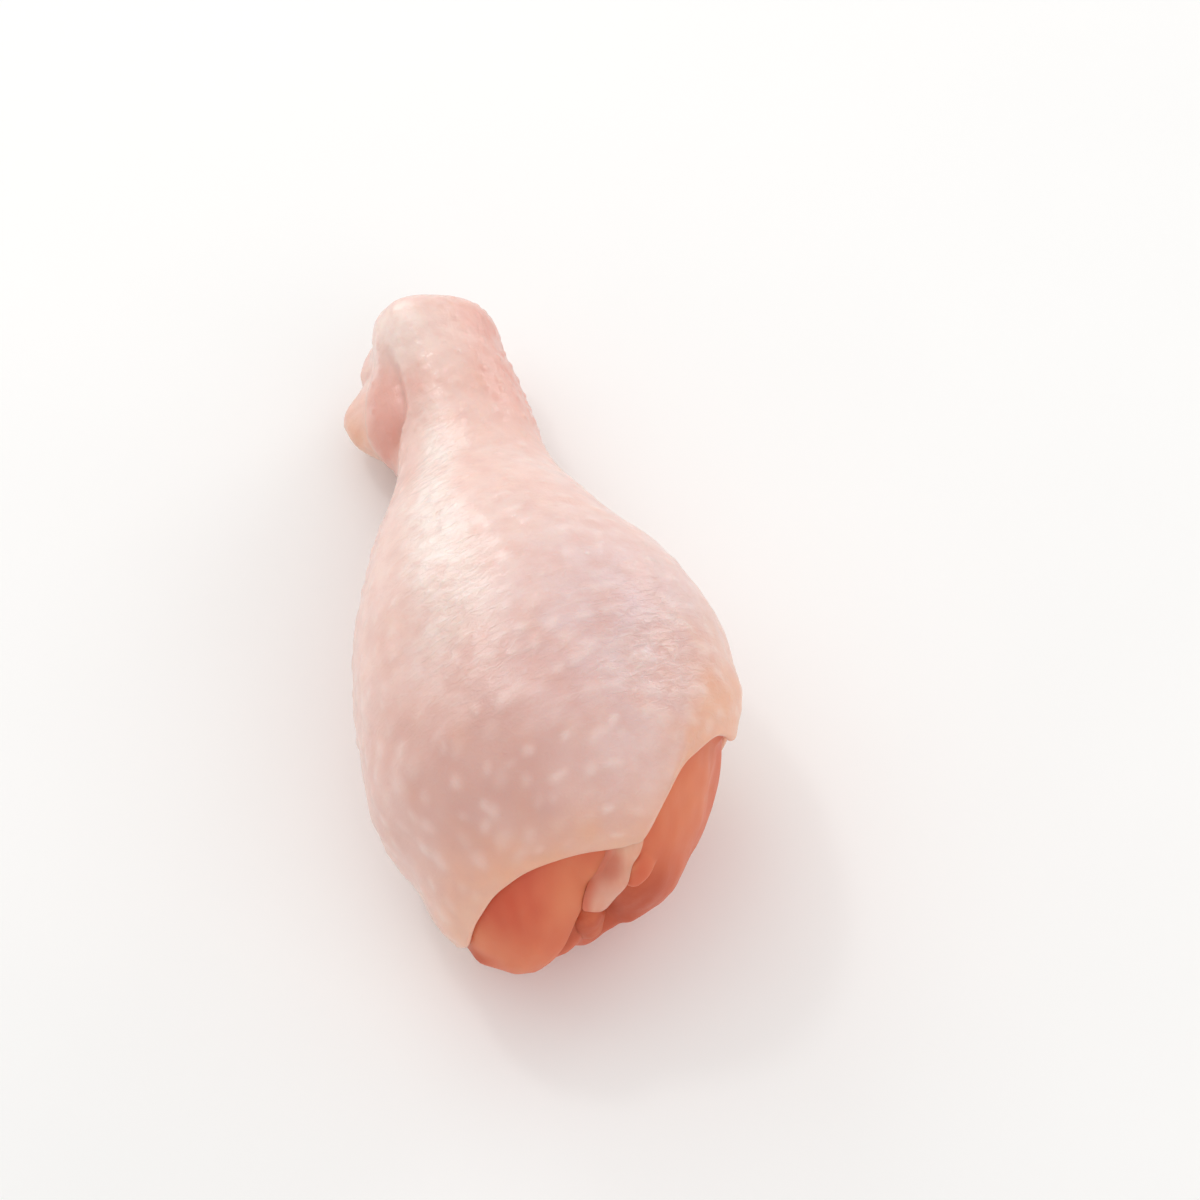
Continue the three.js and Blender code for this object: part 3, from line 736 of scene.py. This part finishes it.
class Finish:
    """A material with one glossy shader, and short calls for the nodes that feed it."""

    def __init__(self, name, **sockets):
        self.material = bpy.data.materials.new(name)
        self.material.use_nodes = True
        self.nodes = self.material.node_tree.nodes
        self.links = self.material.node_tree.links
        self.shader = self.nodes["Principled BSDF"]
        self.place = self.nodes.new("ShaderNodeTexCoord").outputs["Object"]
        for socket, value in sockets.items():
            self.shader.inputs[socket.replace("_", " ")].default_value = value

    def feed(self, socket, source):
        """Links a source to one of the shader's sockets."""
        self.links.new(source, self.shader.inputs[socket])

    def mask(self, name):
        """The number that the mesh holds under this name."""
        attribute = self.nodes.new("ShaderNodeAttribute")
        attribute.attribute_name = name
        return attribute.outputs["Fac"]

    def grain(self, size, detail=2.0, stretch=(1, 1, 1), turn=(0, 0, 0), warp=0.0):
        """Noise of a size in millimetres, stretched along the axes and turned."""
        mapping = self.nodes.new("ShaderNodeMapping")
        mapping.vector_type = "TEXTURE"
        mapping.inputs["Rotation"].default_value = np.radians(turn).tolist()
        mapping.inputs["Scale"].default_value = [size * MM * s for s in stretch]
        noise = self.nodes.new("ShaderNodeTexNoise")
        noise.inputs["Scale"].default_value = 1.0
        noise.inputs["Detail"].default_value = detail
        noise.inputs["Distortion"].default_value = warp
        self.links.new(self.place, mapping.inputs["Vector"])
        self.links.new(mapping.outputs["Vector"], noise.inputs["Vector"])
        return noise.outputs["Fac"]

    def specks(self, spacing, radius):
        """1 at scattered places about one spacing apart, falling to 0 at a radius, both in
        millimetres."""
        cells = self.nodes.new("ShaderNodeTexVoronoi")
        cells.inputs["Scale"].default_value = 1 / (spacing * MM)
        self.links.new(self.place, cells.inputs["Vector"])
        return self.span(cells.outputs["Distance"], 0, radius / spacing, 1, 0)

    def span(self, source, low, high, to_low=0.0, to_high=1.0):
        """Stretches a range of numbers to another and holds it at its ends."""
        node = self.nodes.new("ShaderNodeMapRange")
        for socket, value in zip(("From Min", "From Max", "To Min", "To Max"), (low, high, to_low, to_high)):
            node.inputs[socket].default_value = value
        self.links.new(source, node.inputs["Value"])
        return node.outputs["Result"]

    def times(self, first, second):
        """The product of two numbers, the second a source or a plain number."""
        node = self.nodes.new("ShaderNodeMath")
        node.operation = "MULTIPLY"
        self.links.new(first, node.inputs[0])
        if isinstance(second, float):
            node.inputs[1].default_value = second
        else:
            self.links.new(second, node.inputs[1])
        return node.outputs["Value"]

    def tint(self, under, over, amount):
        """Lays one colour over another, which may be a source, by an amount from 0 to 1. The node
        repeats its sockets' names for every kind of data, so its colours go by number."""
        node = self.nodes.new("ShaderNodeMix")
        node.data_type = "RGBA"
        factor, first, second = node.inputs["Factor"], node.inputs[6], node.inputs[7]
        second.default_value = over
        if isinstance(under, tuple):
            first.default_value = under
        else:
            self.links.new(under, first)
        self.links.new(amount, factor)
        return node.outputs[2]

    def relief(self, height, depth, under=None):
        """Bends the normals by a height of this depth in millimetres, over earlier relief."""
        node = self.nodes.new("ShaderNodeBump")
        node.inputs["Distance"].default_value = depth * MM
        self.links.new(height, node.inputs["Height"])
        if under is not None:
            self.links.new(under, node.inputs["Normal"])
        return node.outputs["Normal"]


def skin_finish():
    """Moist raw skin: creamy pink, lilac over the belly, peach at the cut edge, pink by the ankle,
    pale follicles, fine mottling, and short wrinkles that shine on the neck and in two fields of the
    belly. Painted highlight: a creamy streak on the neck's left, the lit upper left of the knob,
    lighter wrinkle crests in the shiny fields and small white glints."""
    skin = Finish(
        "moist_skin", Subsurface_Weight=0.3, Subsurface_Scale=0.0015, Subsurface_Radius=(1.0, 0.45, 0.3),
        Coat_Weight=0.4, Coat_Roughness=0.1,
    )
    sheen = skin.mask("sheen")
    wrinkles = skin.grain(0.95, 3.5, (2.3, 1, 2.3), (0, 0, 18), 0.7)
    specks = skin.times(skin.specks(2.6, 0.5), skin.mask("glint"))
    blush = skin.span(skin.grain(11, 3), 0.35, 0.7, 0, 0.4)
    colour = skin.tint(linear(240, 202, 190), linear(230, 180, 168), blush)
    colour = skin.tint(colour, linear(224, 194, 194), skin.times(skin.mask("lilac"), 0.9))
    colour = skin.tint(colour, linear(204, 150, 138), skin.times(skin.mask("rose"), 0.8))
    colour = skin.tint(colour, linear(234, 170, 134), skin.times(skin.mask("peach"), 0.85))
    colour = skin.tint(colour, linear(222, 140, 122), skin.times(skin.mask("pink"), 0.8))
    # Creamy tone with painted highlight over it: the neck's streak and the lit upper left of the knob.
    colour = skin.tint(colour, linear(250, 235, 226), skin.times(skin.mask("cream_and_highlight"), 0.75))
    colour = skin.tint(colour, linear(218, 164, 152), skin.span(skin.grain(3.2, 4), 0.42, 0.68, 0, 0.3))
    colour = skin.tint(colour, linear(248, 228, 220), skin.times(skin.mask("follicle"), 0.32))
    # Painted highlight: lighter wrinkle crests in the shiny fields.
    highlit_crests = skin.span(wrinkles, 0.46, 0.7)
    colour = skin.tint(colour, linear(250, 236, 230), skin.times(skin.times(highlit_crests, sheen), 0.3))
    # Painted glints: small white specks in the glint field; the specks also get a small bump.
    colour = skin.tint(colour, linear(252, 240, 234), skin.times(specks, 0.5))
    skin.feed("Base Color", colour)
    skin.feed("Roughness", skin.span(skin.grain(2.5, 3), 0.3, 0.7, 0.3, 0.44))
    bent = skin.relief(skin.grain(0.5, 3), 0.05)
    bent = skin.relief(skin.times(wrinkles, skin.span(sheen, 0, 1, 0.2, 1)), 0.36, bent)
    bent = skin.relief(specks, 0.12, bent)
    bent = skin.relief(skin.times(skin.grain(0.7, 2, (1, 5, 1)), skin.mask("pink")), 0.14, bent)
    skin.feed("Normal", bent)
    skin.feed("Coat Normal", bent)
    return skin.material


def meat_finish():
    """Wet raw meat: coral with deeper and paler fields, brownish painted shade in its hollows and low
    places, a painted highlight on the small lobe's lower edge, and fine fibres along the leg.
    """
    meat = Finish(
        "wet_meat", Subsurface_Weight=0.35, Subsurface_Scale=0.002, Subsurface_Radius=(1.0, 0.3, 0.2),
        Specular_IOR_Level=0.2,
    )
    colour = meat.tint(linear(215, 112, 82), linear(206, 95, 70), meat.mask("deep"))
    colour = meat.tint(colour, linear(228, 140, 102), meat.times(meat.mask("pale"), 0.8))
    # Brownish painted shade in the hollows and low places.
    colour = meat.tint(colour, linear(183, 82, 54), meat.times(meat.mask("brown_shade"), 0.85))
    streaks = meat.grain(1.1, 3, (1, 9, 1.4))
    colour = meat.tint(colour, linear(222, 128, 96), meat.span(streaks, 0.5, 0.8, 0, 0.1))
    meat.feed("Base Color", colour)
    meat.feed("Roughness", meat.span(meat.grain(3, 3), 0.3, 0.7, 0.4, 0.52))
    meat.feed("Normal", meat.relief(streaks, 0.05))
    return meat.material


def strand_finish():
    """Wet tendon: peach above, a duller pink below, fine threads, coral in its hollow and where it
    merges into the meat."""
    strand = Finish(
        "wet_tendon", Subsurface_Weight=0.4, Subsurface_Scale=0.002, Subsurface_Radius=(1.0, 0.4, 0.28),
        Coat_Weight=0.3, Coat_Roughness=0.2,
    )
    threads = strand.grain(1.2, 2, (1, 5, 3))
    colour = strand.tint(linear(226, 160, 132), linear(231, 173, 147), strand.span(threads, 0.35, 0.7))
    colour = strand.tint(colour, linear(221, 156, 134), strand.times(strand.mask("dull"), 0.8))
    colour = strand.tint(colour, linear(210, 112, 84), strand.times(strand.mask("recess"), 0.8))
    colour = strand.tint(colour, linear(214, 112, 82), strand.mask("merging"))
    strand.feed("Base Color", colour)
    strand.feed("Roughness", strand.span(threads, 0.3, 0.7, 0.34, 0.48))
    strand.feed("Normal", strand.relief(threads, 0.05))
    return strand.material


def knob_finish():
    """Wet cartilage: brownish pink, a little paler beneath, slightly mottled. The brownish pink and its
    darker top stand for painted shade under the strand's end.
    """
    knob = Finish(
        "wet_cartilage", Subsurface_Weight=0.3, Subsurface_Scale=0.002, Subsurface_Radius=(1.0, 0.35, 0.25),
    )
    mottle = knob.grain(2.2, 3)
    colour = knob.tint(linear(192, 84, 46), linear(204, 100, 62), knob.span(mottle, 0.35, 0.7))
    # Paler beneath, so the top stays darker as painted shade under the strand's end.
    colour = knob.tint(colour, linear(216, 130, 96), knob.times(knob.mask("pale"), 0.5))
    knob.feed("Base Color", colour)
    knob.feed("Roughness", knob.span(mottle, 0.3, 0.7, 0.5, 0.62))
    knob.feed("Normal", knob.relief(knob.grain(0.8, 3), 0.05))
    return knob.material


# The floor: half its side, and how far it lies under the drumstick, m.
FLOOR_HALF = 1.5
FLOOR_DROP = 0.00005
# The camera: degrees round the drumstick and above it, distance and shifts in metres, and its lens.
CAMERA_AZIMUTH, CAMERA_ELEVATION, CAMERA_DISTANCE = -11.0, 60.0, 0.64
CAMERA_TARGET = Vector((0.0, 0.0, 25.0)) * MM - Vector(MIDDLE) * MM
CAMERA_RIGHT, CAMERA_UP = 0.012155, 0.001705
CAMERA_LENS = 123.84


def floor_finish():
    """Matt near-white paper."""
    paper = Finish("pale_floor", Roughness=0.9)
    paper.feed("Base Color", paper.tint(linear(252, 252, 251), linear(249, 249, 248), paper.grain(60, 2)))
    return paper.material


def add_floor():
    """A flat square just under the drumstick."""
    corners = [(-1, -1), (1, -1), (1, 1), (-1, 1)]
    mesh = bpy.data.meshes.new("floor")
    points = [(FLOOR_HALF * x, FLOOR_HALF * y, -FLOOR_DROP) for x, y in corners]
    mesh.from_pydata(points, [], [(0, 1, 2, 3)])
    mesh.materials.append(floor_finish())
    floor = bpy.data.objects.new("floor", mesh)
    bpy.context.scene.collection.objects.link(floor)


def add_softbox(name, place, size, watts):
    """A square area light that faces the drumstick."""
    lamp = bpy.data.lights.new(name, "AREA")
    lamp.size = size
    lamp.energy = watts
    holder = bpy.data.objects.new(name, lamp)
    holder.location = place
    holder.rotation_euler = (CAMERA_TARGET - Vector(place)).to_track_quat("-Z", "Y").to_euler()
    bpy.context.scene.collection.objects.link(holder)


def add_light():
    """A large box over the ankle end with a small bright one in it for glints, lower ones behind on
    the left and the right, a weak one in front and a pale sky."""
    add_softbox("key_box", (-0.25, 0.35, 0.62), 0.8, 0.92)
    add_softbox("glint_box", (-0.22, 0.32, 0.6), 0.07, 0.32)
    add_softbox("back_box", (-0.22, 0.8, 0.22), 0.4, 1.2)
    add_softbox("side_box", (0.65, 0.5, 0.28), 0.4, 1.0)
    add_softbox("front_box", (0.35, -0.55, 0.6), 0.8, 1.2)
    world = bpy.data.worlds.new("studio")
    world.use_nodes = True
    sky = world.node_tree.nodes["Background"]
    sky.inputs["Color"].default_value = (1.0, 0.99, 0.98, 1.0)
    sky.inputs["Strength"].default_value = 0.7
    bpy.context.scene.world = world
    bpy.context.scene.view_settings.view_transform = "Standard"


def add_camera():
    """A long lens that looks down on the drumstick from the knee end."""
    azimuth, elevation = np.radians([CAMERA_AZIMUTH, CAMERA_ELEVATION])
    level = np.cos(elevation)
    back = Vector((np.sin(azimuth) * level, -np.cos(azimuth) * level, np.sin(elevation)))
    right = Vector((0, 0, 1)).cross(back).normalized()
    up = back.cross(right)
    lens = bpy.data.cameras.new("camera")
    lens.lens = CAMERA_LENS
    camera = bpy.data.objects.new("camera", lens)
    turn = Matrix((right, up, back)).transposed().to_4x4()
    place = CAMERA_TARGET + back * CAMERA_DISTANCE + right * CAMERA_RIGHT + up * CAMERA_UP
    camera.matrix_world = Matrix.Translation(place) @ turn
    bpy.context.scene.collection.objects.link(camera)
    bpy.context.scene.camera = camera


add_camera()
add_light()
add_floor()
add_piece("skin_sock", skin_mesh(), skin_finish(), "skin")
add_piece("meat_core", meat_mesh(), meat_finish(), "meat")
add_piece("tendon_strand", strand_mesh(), strand_finish(), "tendon")
add_piece("cartilage_knob", knob_mesh(), knob_finish(), "cartilage")
